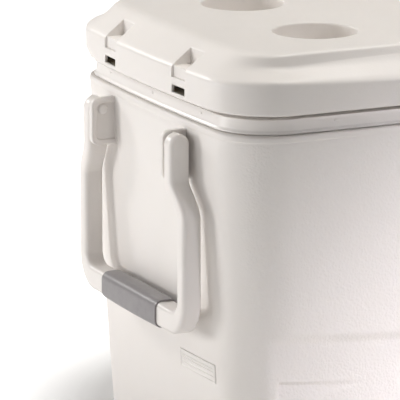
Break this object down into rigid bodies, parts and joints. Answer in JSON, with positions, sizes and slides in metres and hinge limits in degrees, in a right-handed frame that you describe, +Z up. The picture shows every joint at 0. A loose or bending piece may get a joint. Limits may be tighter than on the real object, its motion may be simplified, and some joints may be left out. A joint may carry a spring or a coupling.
{
  "type": "cooler chest",
  "caption": "Hard-sided cooler chest with a hinged lid, cup wells and strap notches in the lid, swing handles on the ends and a screw-cap drain.",
  "frame": {"origin": "on the ground, at the middle of the object's footprint box", "axes": "+X along the length towards the end with the drain, -Y towards the front, +Z up; the hinges are at the back, +Y"},
  "size_m": [0.733, 0.4087, 0.425],
  "materials": {
    "body_white": "pebbled satin, white",
    "liner_white": "smooth gloss, white",
    "handle_white": "smooth satin, white",
    "grip_grey": "soft matte, mid grey",
    "pin_white": "smooth gloss, white",
    "hinge_white": "smooth satin, white",
    "steel": "stainless, satin",
    "foam_core": "rigid insulating foam, cream",
    "drain_white": "smooth gloss, white",
    "seal_black": "matte, black"
  },
  "bodies": {
    "chest": {"outer_shell": "body_white", "inner_liner": "liner_white", "tub_floor": "liner_white", "left_bracket_front": "handle_white", "left_bracket_rear": "handle_white", "right_bracket_front": "handle_white", "right_bracket_rear": "handle_white", "left_pivot_pin_front": "pin_white", "left_pivot_pin_rear": "pin_white", "right_pivot_pin_front": "pin_white", "right_pivot_pin_rear": "pin_white", "hinge_body_leaf_left": "hinge_white", "hinge_body_leaf_middle": "hinge_white", "hinge_body_leaf_right": "hinge_white", "hinge_pin_left": "steel", "hinge_pin_middle": "steel", "hinge_pin_right": "steel", "body_screw_left_1": "steel", "body_screw_left_2": "steel", "body_screw_middle_1": "steel", "body_screw_middle_2": "steel", "body_screw_right_1": "steel", "body_screw_right_2": "steel", "body_foam": "foam_core", "drain_spout": "drain_white", "drain_nut": "drain_white", "drain_gasket": "seal_black"},
    "lid": {"lid_top_shell": "body_white", "lid_foam": "foam_core", "lid_inner_panel": "liner_white", "hinge_lid_leaf_left": "hinge_white", "hinge_lid_leaf_middle": "hinge_white", "hinge_lid_leaf_right": "hinge_white", "lid_screw_left_1": "steel", "lid_screw_left_2": "steel", "lid_screw_middle_1": "steel", "lid_screw_middle_2": "steel", "lid_screw_right_1": "steel", "lid_screw_right_2": "steel"},
    "left_bail": {"left_handle": "handle_white", "left_grip": "grip_grey"},
    "right_bail": {"right_handle": "handle_white", "right_grip": "grip_grey"},
    "cap_carrier": {"drain_cap_seal": "seal_black"},
    "cap": {"drain_cap": "drain_white"}
  },
  "joints": [
    {"name": "lid_hinge", "type": "hinge", "parent": "chest", "child": "lid", "pos_m": [0, 0.19815, 0.36], "axis": [-1, 0, 0], "range_deg": [0, 105]},
    {"name": "left_handle_swing", "type": "hinge", "parent": "chest", "child": "left_bail", "pos_m": [-0.3535, -0.00235, 0.329], "axis": [0, 1, 0], "range_deg": [0, 105]},
    {"name": "right_handle_swing", "type": "hinge", "parent": "chest", "child": "right_bail", "pos_m": [0.3535, -0.00235, 0.329], "axis": [0, -1, 0], "range_deg": [0, 105]},
    {"name": "drain_cap_travel", "type": "slide", "parent": "chest", "child": "cap_carrier", "axis": [1, 0, 0], "range_m": [0, 0.006]},
    {"name": "drain_cap_turn", "type": "hinge", "parent": "cap_carrier", "child": "cap", "pos_m": [0.343, -0.00235, 0.048], "axis": [1, 0, 0], "range_deg": [0, 720]}
  ],
  "couplings": [
    {"joint": "drain_cap_travel", "follows": "drain_cap_turn", "m_per_rad": 0.00047746}
  ]
}
